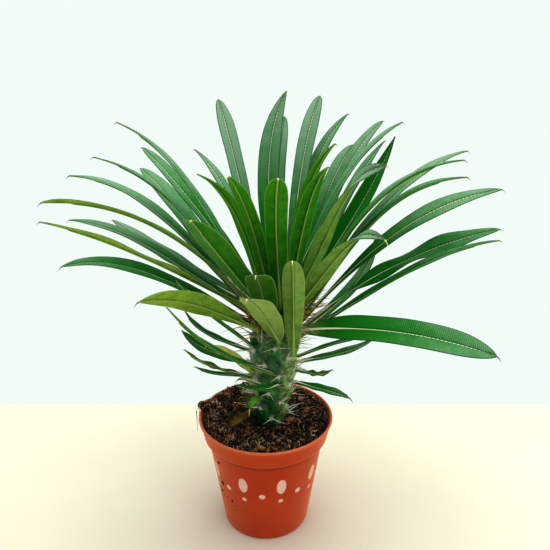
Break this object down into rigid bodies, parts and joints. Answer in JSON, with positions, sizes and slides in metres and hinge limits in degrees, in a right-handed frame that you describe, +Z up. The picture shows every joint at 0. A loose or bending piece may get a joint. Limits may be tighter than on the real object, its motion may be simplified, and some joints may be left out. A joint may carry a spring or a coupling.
{
  "type": "potted madagascar palm",
  "caption": "Young Madagascar palm with a spiny tubercled stem and a crown of strap-shaped leaves, in a round tapered plastic nursery pot filled with potting soil.",
  "frame": {"origin": "centre of the pot's flat foot, on the surface it stands on", "axes": "+Z up along the pot's axis; -Y is the front, +X is to the right seen from the front"},
  "size_m": [0.3754, 0.2742, 0.3814],
  "materials": {
    "terracotta_plastic": "satin",
    "potting_soil": "matte",
    "stem_bark": "satin",
    "leaf_green": "satin",
    "leaf_olive": "satin",
    "leaf_yellow": "satin",
    "leaf_bright": "satin",
    "leaf_dead": "matte"
  },
  "bodies": {
    "root": {"pot": "terracotta_plastic", "soil": "potting_soil", "stem": "stem_bark", "leaf_01": "leaf_green", "leaf_02": "leaf_green", "leaf_03": "leaf_green", "leaf_04": "leaf_green", "leaf_05": "leaf_green", "leaf_06": "leaf_olive", "leaf_07": "leaf_olive", "leaf_08": "leaf_green", "leaf_09": "leaf_green", "leaf_10": "leaf_green", "leaf_11": "leaf_green", "leaf_12": "leaf_olive", "leaf_13": "leaf_green", "leaf_14": "leaf_green", "leaf_15": "leaf_green", "leaf_16": "leaf_green", "leaf_17": "leaf_green", "leaf_18": "leaf_green", "leaf_19": "leaf_green", "leaf_20": "leaf_green", "leaf_21": "leaf_green", "leaf_22": "leaf_green", "leaf_23": "leaf_green", "leaf_24": "leaf_green", "leaf_25": "leaf_green", "leaf_26": "leaf_green", "leaf_27": "leaf_green", "leaf_28": "leaf_green", "leaf_29": "leaf_green", "leaf_30": "leaf_green", "leaf_31": "leaf_green", "leaf_32": "leaf_green", "leaf_33": "leaf_green", "leaf_34": "leaf_green", "leaf_35": "leaf_green", "leaf_36": "leaf_green", "leaf_37": "leaf_green", "leaf_38": "leaf_green", "leaf_39": "leaf_green", "leaf_40": "leaf_green", "leaf_41": "leaf_olive", "leaf_42": "leaf_green", "leaf_43": "leaf_green", "leaf_44": "leaf_green", "leaf_45": "leaf_green", "leaf_46": "leaf_green", "leaf_47": "leaf_green", "leaf_48": "leaf_green", "leaf_49": "leaf_green", "leaf_50": "leaf_olive", "leaf_51": "leaf_yellow", "leaf_52": "leaf_yellow", "leaf_53": "leaf_green", "leaf_54": "leaf_green", "leaf_55": "leaf_bright", "leaf_56": "leaf_dead", "leaf_57": "leaf_green"}
  },
  "joints": []
}
